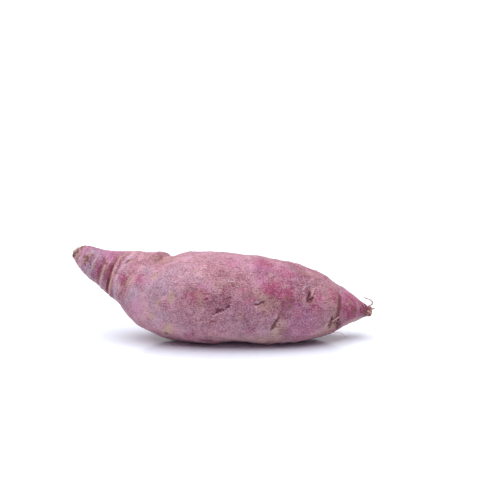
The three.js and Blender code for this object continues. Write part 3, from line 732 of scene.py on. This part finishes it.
def lay_ends(skin):
    """Adds the broken stem scar and the dried knot of the tail.

    The scar is what a slanted plane cuts off the tip: a cap of corky fibre with a raised rim. The
    knot is the last of the tail, sunken and fibrous. A random field makes their edges ragged.
    """
    fibre = ripples(skin.smooth, END_FIBRE)
    cap = (skin.smooth - skin.axis[0]) @ np.array(STEM_SCAR["facing"]) + STEM_SCAR["depth"]
    cap = cap + STEM_SCAR["ragged"] * fibre
    at_stem = skin.x < STEM_SCAR["end"]
    stem = smooth_step(cap / STEM_SCAR["reach"]) * at_stem
    rim = bell((cap - STEM_RIM["place"]) / STEM_RIM["breadth"]) * at_stem
    tail = skin.x - TAIL_KNOT["x"] + TAIL_KNOT["ragged"] * fibre
    knot = smooth_step(tail / TAIL_KNOT["reach"])
    skin.relief += (STEM_SCAR["fibre"] * stem + TAIL_KNOT["fibre"] * knot) * fibre
    skin.relief += STEM_RIM["height"] * rim - TAIL_KNOT["sink"] * knot
    skin.mark("stem", stem)
    skin.mark("rim", rim)
    skin.mark("knot", knot)


def soft_zones(seed=51):
    """Every soft oval zone with its look: those listed, and those strewn at random."""
    for name, zones in ZONES.items():
        for *place, strength in zones:
            yield name, place, strength
    rng = np.random.default_rng(seed)
    for name, count, size, strength in STREWN_ZONES:
        places = rng.uniform(*STREWN_X, count), rng.uniform(*STREWN_ANGLES, count)
        for x, angle in zip(*places):
            length, breadth = size * rng.uniform(*STREWN_SHARES, 2)
            yield name, (x, angle, length, breadth), strength


def shift_to_solid(points):
    """The move that sets the skin's box on the middle of the solid's, with its foot at its foot."""
    low, high = (np.array(corner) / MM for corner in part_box(NODE))
    shift = (low + high) / 2 - (points.min(axis=0) + points.max(axis=0)) / 2
    shift[2] = low[2] - points[:, 2].min()
    return shift


def skin_shape(settings):
    """The skin with all its relief and masks, and its points, set where the solid lies.

    The belly is pressed flat: no point is lower than the height of its flat.
    """
    skin = Skin(settings.rings, settings.sides)
    lay_body(skin)
    lay_furrows(skin)
    lay_wrinkles(skin, settings.wrinkle_strength)
    lay_slits_and_pores(skin)
    lay_ends(skin)
    for name, place, strength in soft_zones():
        skin.masks[name] += strength * skin.patch(*place)
    for name, strength, path in BANDS:
        skin.masks[name] += strength * bell(skin.path_gap(path))

    skin.relief *= np.minimum(skin.girth / FULL_RELIEF_HALF_HEIGHT, 1)
    points = skin.surface()
    points[..., 2] = np.maximum(points[..., 2], BELLY_FLAT)
    shift = shift_to_solid(points.reshape(-1, 3))
    skin.axis = skin.axis + shift
    return skin, points + shift


# ---- Meshes ----


def closed_tube_mesh(name, grid, first, last, share_along):
    """A mesh over rings of points, closed on itself round the rings and by a fan at each end.

    The grid's vertices come ring by ring, then the two end points. The map OFBake lays the rings'
    share along against the turn round, so that it fills the square once.
    """
    rings, sides = grid.shape[:2]
    points = np.vstack([grid.reshape(-1, 3), first, last])
    ring, side = np.meshgrid(np.arange(rings - 1), np.arange(sides), indexing="ij")
    after = (side + 1) % sides
    quads = np.stack([
        ring * sides + side, (ring + 1) * sides + side,
        (ring + 1) * sides + after, ring * sides + after,
    ], axis=-1).reshape(-1, 4)
    turn = np.arange(sides)
    onward = (turn + 1) % sides
    base = (rings - 1) * sides
    start_fan = np.stack([turn, onward, np.full(sides, rings * sides)], axis=-1)
    end_fan = np.stack([base + onward, base + turn, np.full(sides, rings * sides + 1)], axis=-1)

    low, high = share_along[1:-2], share_along[2:-1]
    u0, u1 = side / sides, (side + 1) / sides
    v0, v1 = low[ring], high[ring]
    quad_uv = np.stack([u0, v0, u0, v1, u1, v1, u1, v0], axis=-1).reshape(-1, 2)
    left, right, middle = turn / sides, (turn + 1) / sides, (turn + 0.5) / sides
    bottom, top = np.full(sides, share_along[1]), np.full(sides, share_along[-2])
    start_uv = np.stack([left, bottom, right, bottom, middle, 0 * bottom], axis=-1)
    end_uv = np.stack([right, top, left, top, middle, 0 * top + 1], axis=-1)

    mesh = bpy.data.meshes.new(name)
    faces = quads.tolist() + start_fan.tolist() + end_fan.tolist()
    mesh.from_pydata((points * MM).tolist(), [], faces)
    uv = np.concatenate([quad_uv.ravel(), start_uv.ravel(), end_uv.ravel()])
    mesh.uv_layers.new(name="OFBake").uv.foreach_set("vector", uv.astype(np.float32))
    mesh.polygons.foreach_set("use_smooth", np.ones(len(faces), bool))
    mesh.validate()
    return mesh


def rootlet_grid(path, start_diameter, end_diameter, steps=22, sides=8):
    """Rings of a tapering tube along the smooth curve through the path's points.

    The radius falls evenly from start to end, and a sine of nine radians thickens and thins it.
    The tube's ends are a low point inside the skin and a round tip.
    """
    centres = catmull_rom(path, np.linspace(0, len(path) - 1, steps))
    tangent = unit_vectors(np.gradient(centres, axis=0))
    side = unit_vectors(np.cross(tangent, ROOTLET_SIDEWAYS))
    up = np.cross(tangent, side)
    share = np.linspace(0, 1, steps)
    radius = 0.5 * (start_diameter + (end_diameter - start_diameter) * share)
    radius = radius * (1 + ROOTLET_KNOBBLE * np.sin(9 * share + 4 * start_diameter))
    turn = np.linspace(0, 2 * np.pi, sides, endpoint=False)
    outward = side[:, None] * np.cos(turn)[:, None] + up[:, None] * np.sin(turn)[:, None]
    grid = centres[:, None] + outward * radius[:, None, None]
    first = centres[0] - tangent[0] * radius[0] * 0.6
    last = centres[-1] + tangent[-1] * radius[-1]
    share_along = np.concatenate([[0.0], np.linspace(0.02, 0.98, steps), [1.0]])
    return grid, first, last, share_along


def store_mask(mesh, name, values):
    """Keeps a mask on the mesh's points, for the material to read."""
    attribute = mesh.attributes.new(name, "FLOAT", "POINT")
    attribute.data.foreach_set("value", values.astype(np.float32))


def link_object(name, data):
    """Puts a mesh, a light or a camera into the scene as an object at the origin."""
    item = bpy.data.objects.new(name, data)
    bpy.context.scene.collection.objects.link(item)
    return item


def add_piece(name, mesh, material):
    """Links the mesh as a piece that rides on the root."""
    piece = link_object(name, mesh)
    mesh.materials.append(material)
    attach(piece, BODY)
    return piece


# ---- Materials ----


def linear(colour):
    """An sRGB hex colour such as "#a8788c" as linear red, green and blue.

    Each share of full is divided by 12.92 up to 0.04045, and above it 0.055 is added, the sum is
    divided by 1.055 and raised to the power 2.4.
    """
    values = np.array([int(colour[i:i + 2], 16) for i in (1, 3, 5)]) / 255
    bright = ((values + 0.055) / 1.055) ** 2.4
    return tuple(float(v) for v in np.where(values <= 0.04045, values / 12.92, bright))


def empty_tree(block):
    """The node tree of a material or a world, switched on and emptied."""
    block.use_nodes = True
    block.node_tree.nodes.clear()
    return block.node_tree


def add_node(tree, kind, inputs=None, **settings):
    """Adds a node, sets its settings, and sets or links each input."""
    node = tree.nodes.new(kind)
    for name, value in settings.items():
        setattr(node, name, value)
    for name, value in (inputs or {}).items():
        if isinstance(value, bpy.types.NodeSocket):
            tree.links.new(value, node.inputs[name])
        else:
            node.inputs[name].default_value = value
    return node


def mottle_fields(tree, mottles):
    """The mottles of a material by name: random blotches of a given size in mm.

    A mottle runs from 0 to 1 and is a half on average.
    """
    place = add_node(tree, "ShaderNodeTexCoord").outputs["Object"]
    fields = {}
    for name, (size, detail, stretch) in mottles.items():
        scale = (1 / (MM * size * stretch), 1 / (MM * size), 1 / (MM * size))
        where = add_node(tree, "ShaderNodeMapping", {"Vector": place, "Scale": scale})
        inputs = {"Vector": where.outputs[0], "Scale": 1.0, "Detail": detail, "Roughness": 0.6}
        fields[name] = add_node(tree, "ShaderNodeTexNoise", inputs).outputs["Fac"]
    return fields


def weighed_sum(tree, start, terms):
    """The start plus each field times its weight, by a chain of multiply and add."""
    total = start
    for field, weight in terms:
        inputs = {0: field, 1: weight, 2: total}
        total = add_node(tree, "ShaderNodeMath", inputs, operation="MULTIPLY_ADD").outputs[0]
    return total


def lay_over(tree, below, colour, field, low, high, strength=1.0, edge_kind="SMOOTHSTEP"):
    """A colour laid over the one below: not at all where the field is low, fully where high.

    The field's share of the way from low to high, times the strength, mixes the two colours.
    """
    # By number, the range's inputs are the field, low, high and what those become, and the mix's
    # are its share and the two colours.
    edge = add_node(
        tree, "ShaderNodeMapRange", {0: field, 1: low, 2: high, 3: 0.0, 4: strength},
        interpolation_type=edge_kind)
    above = colour if isinstance(colour, bpy.types.NodeSocket) else (*colour, 1.0)
    inputs = {0: edge.outputs[0], 6: below, 7: above}
    return add_node(tree, "ShaderNodeMix", inputs, data_type="RGBA").outputs[2]


def skin_material(colours):
    """Skin of a purple sweet potato: a purple periderm under a thin, dry film of dusty cork.

    The film is worn through in specks a millimetre across, so the eye sees a matt, powdery lilac
    pink that deepens to violet and crimson where more of it is gone. Old wounds, furrows and the
    two ends have thicker cork, which is tan to brown. Shade is painted into the grooves of cracks
    and furrows, light and shade into the film over the near side's halves, the neck's ridge, the
    crease and the belly's edge, and pale glints onto the grain and the tail's knot. The film's real
    grain is about 0.3 mm, too fine to show, and is drawn at 0.6 to 1.3 mm.
    """
    material = bpy.data.materials.new("dusty_purple_periderm")
    tree = empty_tree(material)
    fields = mottle_fields(tree, SKIN_MOTTLES)
    for name in (*ZONES, *MARK_NAMES):
        reader = add_node(tree, "ShaderNodeAttribute", attribute_name=name)
        fields[name] = reader.outputs["Fac"]

    def layered(colour, layers):
        """Lays each (colour, mask, mottle, raggedness, low, high, strength) over the one below.

        A layer's field is its mask, plus the raggedness times what its mottle is above a half.
        """
        for name, mask, mottle, raggedness, low, high, strength in layers:
            terms = [(fields[mask], 1.0), (fields[mottle], raggedness)]
            field = weighed_sum(tree, -0.5 * raggedness, terms)
            colour = lay_over(tree, colour, getattr(colours, name), field, low, high, strength)
        return colour

    bare = layered((*colours.plum, 1.0), PERIDERM_LAYERS)
    film = layered((*colours.dust_and_painted_light, 1.0), FILM_LAYERS)
    # The cover is a half where every mottle is, and rises and falls with each of them.
    start = 0.5 - 0.5 * sum(FILM_COVER.values())
    weights = FILM_COVER | COVER_BY_MASK
    cover = weighed_sum(tree, start, [(fields[name], weights[name]) for name in weights])
    colour = lay_over(tree, bare, film, cover, *COVER_RANGE, edge_kind="LINEAR")
    colour = layered(colour, MARK_LAYERS)

    bare_rough, film_rough = SKIN_ROUGHNESS
    rough = add_node(
        tree, "ShaderNodeMapRange", {0: cover, 1: 0.0, 2: 1.0, 3: bare_rough, 4: film_rough})
    height = weighed_sum(tree, 0.0, [(fields[name], part) for name, part in GRAIN_HEIGHT.items()])
    bump = add_node(tree, "ShaderNodeBump", {"Height": height, "Distance": MM, "Strength": 0.7})
    shader = add_node(tree, "ShaderNodeBsdfPrincipled", {
        "Base Color": colour, "Roughness": rough.outputs[0], "Specular IOR Level": 0.35,
        "Sheen Weight": 0.08, "Sheen Roughness": 0.5, "Normal": bump.outputs[0],
    })
    add_node(tree, "ShaderNodeOutputMaterial", {"Surface": shader.outputs[0]})
    return material


def rootlet_material(colours):
    """Dried hair root: thin straw-coloured fibre, matt, browner in stretches a millimetre long."""
    material = bpy.data.materials.new("dried_rootlet_fibre")
    tree = empty_tree(material)
    fibre = mottle_fields(tree, ROOTLET_MOTTLES)["fibre"]
    colour = lay_over(
        tree, (*colours.straw, 1.0), colours.straw_shade, fibre, low=0.42, high=0.62, strength=0.8)
    shader = add_node(tree, "ShaderNodeBsdfPrincipled", {
        "Base Color": colour, "Roughness": 0.75, "Specular IOR Level": 0.3,
    })
    add_node(tree, "ShaderNodeOutputMaterial", {"Surface": shader.outputs[0]})
    return material


def seen_rays(tree):
    """1 for rays from the camera, and for those that gloss or glass sends on, and 0 for others."""
    path = add_node(tree, "ShaderNodeLightPath").outputs
    seen = path["Is Camera Ray"]
    for kind in ("Is Glossy Ray", "Is Transmission Ray"):
        inputs = {0: seen, 1: path[kind]}
        seen = add_node(tree, "ShaderNodeMath", inputs, operation="MAXIMUM").outputs[0]
    return seen


def floor_material(stage):
    """Glossy white studio laminate: satin, with its shadow kept and its lit part plain white.

    To the camera and in reflections it gives back a little more than it receives, so that the
    open floor is as white as the backdrop.
    """
    material = bpy.data.materials.new("white_studio_laminate")
    tree = empty_tree(material)
    laminate = add_node(tree, "ShaderNodeBsdfPrincipled", {
        "Base Color": (*stage.floor_colour, 1.0), "Roughness": 0.16, "Specular IOR Level": 0.4,
    })
    tint = lay_over(tree, (0.0, 0.0, 0.0, 1.0), stage.floor_lift, seen_rays(tree), 0.0, 1.0)
    lift = add_node(tree, "ShaderNodeBsdfDiffuse", {"Color": tint})
    total = add_node(tree, "ShaderNodeAddShader", {0: laminate.outputs[0], 1: lift.outputs[0]})
    add_node(tree, "ShaderNodeOutputMaterial", {"Surface": total.outputs[0]})
    return material


# ---- Stage ----


def build_floor(stage):
    """A level square of white laminate under the root."""
    half = stage.floor_size / 2
    mesh = bpy.data.meshes.new("floor")
    corners = [(-half, -half, 0), (half, -half, 0), (half, half, 0), (-half, half, 0)]
    mesh.from_pydata(corners, [], [(0, 1, 2, 3)])
    mesh.materials.append(floor_material(stage))
    floor = link_object("floor", mesh)


def build_room(stage):
    """Even soft light from all round, from a room that is plain white to the camera."""
    world = bpy.data.worlds.new("white_studio_room")
    tree = empty_tree(world)
    light = {"Color": (*stage.sky_colour, 1.0), "Strength": stage.sky_strength}
    sky = add_node(tree, "ShaderNodeBackground", light)
    backdrop = add_node(tree, "ShaderNodeBackground", {"Color": (1.0, 1.0, 1.0, 1.0)})
    inputs = {0: seen_rays(tree), 1: sky.outputs[0], 2: backdrop.outputs[0]}
    room = add_node(tree, "ShaderNodeMixShader", inputs)
    add_node(tree, "ShaderNodeOutputWorld", {"Surface": room.outputs[0]})
    bpy.context.scene.world = world


def hang_softbox(stage):
    """The wide overhead light, shining from the lamp's way towards the root."""
    lamp = bpy.data.lights.new("overhead_softbox", "SUN")
    lamp.energy = stage.lamp_strength
    lamp.angle = stage.lamp_spread
    softbox = link_object("overhead_softbox", lamp)
    softbox.rotation_euler = Vector(LAMP_WAY).to_track_quat("Z", "Y").to_euler()


def set_camera(stage):
    """The camera at its distance from the aim, back towards -Y and up by its elevation."""
    low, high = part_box(NODE)
    target = (low + high) / 2 + Vector(AIM) * MM
    slope = stage.camera_elevation
    back = Vector((0, -math.cos(slope), math.sin(slope)))
    lens = bpy.data.cameras.new("camera")
    lens.lens = stage.lens
    lens.sensor_width = 36
    camera = link_object("camera", lens)
    camera.location = target + back * stage.camera_distance
    camera.rotation_euler = back.to_track_quat("Z", "Y").to_euler()
    bpy.context.scene.camera = camera
    bpy.context.scene.view_settings.view_transform = "Standard"


# ---- Settings ----


def colour_property(name, description, colour):
    """A colour setting whose default is an sRGB hex colour."""
    return bpy.props.FloatVectorProperty(
        name=name, description=description, subtype="COLOR", size=3, min=0, max=1,
        default=linear(colour))


class SkinSettings(bpy.types.PropertyGroup):
    """Fineness, relief and colours of the skin."""

    rings: bpy.props.IntProperty(
        name="Rings", description="Rings of points along the root", default=418, min=40)
    sides: bpy.props.IntProperty(
        name="Sides", description="Points round each ring", default=236, min=16)
    wrinkle_strength: bpy.props.FloatProperty(
        name="Wrinkles", description="Strength of the fine wrinkles", default=1.0, min=0,
        subtype="FACTOR")
    plum: colour_property("Plum", "Ground colour under the dusty film", "#90475f")
    violet: colour_property("Violet", "Violet ground in patches", "#9c4a7c")
    crimson: colour_property("Crimson", "Reddest ground in patches", "#a43a67")
    dust_and_painted_light: colour_property("Dust", "Dry film over the ground", "#f5becc")
    rose: colour_property("Rose", "Pinker film in patches", "#e9a6c5")
    lilac: colour_property("Lilac", "Cooler film in patches", "#dcbed4")
    tan: colour_property("Tan", "Thicker, tan film in patches", "#e2bbb0")
    pit: colour_property("Pit", "Dark specks where the film is missing", "#5c2f44")
    # Pale film flakes, used also as painted glints on the grain and the knot.
    flake_and_glint: colour_property("Flake", "Pale flakes of film", "#e4ccd1")
    rust: colour_property("Rust", "Rusty brown cork blotches", "#8f5f50")
    # The furrows' brown bed, which also carries the painted shade of the groove.
    furrow: colour_property("Furrow", "Brown bed of the furrows", "#7a3239")
    ledge: colour_property("Ledge", "Pale tan skin beside a furrow", "#cba49c")
    cork: colour_property("Cork", "Dry brown cork of scars", "#8a5c55")
    ring: colour_property("Ring", "Straw-coloured rings of cork pores", "#e2bdba")
    # Dark flesh with the shade of a crack's groove painted into it.
    crack_and_shade: colour_property("Crack", "Shadowed flesh in cracks", "#6a2842")
    scratch: colour_property("Scratch", "Pale rubbed scratches", "#e3c3d0")
    stem: colour_property("Stem", "Broken fibre of the stem scar", "#c2a08d")
    scab: colour_property("Scab", "Dark scab round the stem scar", "#673f3a")
    knot: colour_property("Knot", "Dried knot at the tail", "#a66c64")


class RootletSettings(bpy.types.PropertyGroup):
    """Colours of the hair rootlets."""

    straw: colour_property("Straw", "Dried fibre", "#dfb2b0")
    straw_shade: colour_property("Straw shade", "Darker stretches of the fibre", "#bf8d8a")


class StageSettings(bpy.types.PropertyGroup):
    """Floor, light and camera."""

    floor_colour: colour_property("Floor", "Colour of the floor", "#e4e9f0")
    floor_lift: colour_property("Floor lift", "What the lit floor in view adds", "#9aa1ac")
    floor_size: bpy.props.FloatProperty(
        name="Floor size", description="Length of the floor's sides", default=40.0,
        subtype="DISTANCE", unit="LENGTH")
    sky_colour: colour_property("Sky", "Colour of the soft light", "#e6ebff")
    sky_strength: bpy.props.FloatProperty(
        name="Soft light", description="Even light from all round", default=0.12, min=0)
    lamp_strength: bpy.props.FloatProperty(
        name="Top light", description="Power of the overhead softbox", default=3.15, min=0)
    lamp_spread: bpy.props.FloatProperty(
        name="Top light's spread", description="Angle that the overhead softbox fills",
        default=math.radians(76), subtype="ANGLE", unit="ROTATION")
    camera_distance: bpy.props.FloatProperty(
        name="Camera distance", description="From the camera to what it aims at", default=0.872,
        subtype="DISTANCE", unit="LENGTH")
    camera_elevation: bpy.props.FloatProperty(
        name="Camera elevation", description="Angle of the camera above the horizon",
        default=math.radians(12), subtype="ANGLE", unit="ROTATION")
    lens: bpy.props.FloatProperty(
        name="Lens", description="Focal length", default=100.0, subtype="DISTANCE_CAMERA")


# ---- Operators ----


class SWEETPOTATO_OT_skin(bpy.types.Operator):
    """Build the root's skin with its furrows, cracks, scars and cork"""

    bl_idname = "sweet_potato.skin"
    bl_label = "Skin"

    def execute(self, context):
        """Works out the skin on its grid, and gives it its masks and material."""
        settings = context.scene.sweet_potato_skin
        skin, points = skin_shape(settings)
        mesh = closed_tube_mesh(
            "storage_root", points[1:-1], points[0, 0], points[-1, 0], skin.share_along)
        for name, values in skin.masks.items():
            store_mask(mesh, name, np.append(values[1:-1].ravel(), (values[0, 0], values[-1, 0])))
        piece = add_piece("storage_root", mesh, skin_material(settings))
        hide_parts(NODE)
        return {"FINISHED"}


class SWEETPOTATO_OT_rootlets(bpy.types.Operator):
    """Build the dried hair rootlets and root stubs"""

    bl_idname = "sweet_potato.rootlets"
    bl_label = "Rootlets"

    def execute(self, context):
        """Starts each rootlet just under the skin and runs it through its offsets."""
        skin, points = skin_shape(context.scene.sweet_potato_skin)
        material = rootlet_material(context.scene.sweet_potato_rootlets)
        for number, ((x, angle), offsets, thick, thin) in enumerate(ROOTLETS, 1):
            ring = np.argmin(np.abs(skin.x[:, 0] - x))
            side = np.argmin(np.abs(turn_from(angle, skin.angle[ring])))
            start = points[ring, side]
            inward = skin.axis[ring] - start
            path = start + np.array(offsets, float)
            path[0] += ROOTLET_DEPTH * inward / np.linalg.norm(inward)
            name = f"rootlet_{number:02d}"
            mesh = closed_tube_mesh(name, *rootlet_grid(path, thick, thin))
            add_piece(name, mesh, material)
        return {"FINISHED"}


class SWEETPOTATO_OT_stage(bpy.types.Operator):
    """Set the white floor, the soft studio light and the camera"""

    bl_idname = "sweet_potato.stage"
    bl_label = "Stage"

    def execute(self, context):
        """Makes the floor, the room, the overhead softbox and the camera."""
        stage = context.scene.sweet_potato_stage
        build_floor(stage)
        build_room(stage)
        hang_softbox(stage)
        set_camera(stage)
        return {"FINISHED"}


class SWEETPOTATO_PT_panel(bpy.types.Panel):
    """Lists the steps that build the sweet potato"""

    bl_idname = "SWEETPOTATO_PT_panel"
    bl_label = "Sweet Potato"
    bl_space_type = "VIEW_3D"
    bl_region_type = "UI"
    bl_category = "Sweet Potato"

    def draw(self, context):
        """Draws a button for each operator."""
        for operator in OPERATORS:
            self.layout.operator(operator.bl_idname)


OPERATORS = (SWEETPOTATO_OT_skin, SWEETPOTATO_OT_rootlets, SWEETPOTATO_OT_stage)
SETTINGS = {
    "sweet_potato_skin": SkinSettings,
    "sweet_potato_rootlets": RootletSettings,
    "sweet_potato_stage": StageSettings,
}


def register():
    """Registers the classes and hangs the settings on the scene."""
    for kind in (*SETTINGS.values(), *OPERATORS, SWEETPOTATO_PT_panel):
        bpy.utils.register_class(kind)
    for name, group in SETTINGS.items():
        setattr(bpy.types.Scene, name, bpy.props.PointerProperty(type=group))


def unregister():
    """Takes the settings and classes away again."""
    for name in SETTINGS:
        delattr(bpy.types.Scene, name)
    for kind in (SWEETPOTATO_PT_panel, *reversed(OPERATORS), *reversed(SETTINGS.values())):
        bpy.utils.unregister_class(kind)


def main():
    """Builds everything in order."""
    register()
    bpy.ops.sweet_potato.skin()
    bpy.ops.sweet_potato.rootlets()
    bpy.ops.sweet_potato.stage()


if __name__ == "__main__":
    main()
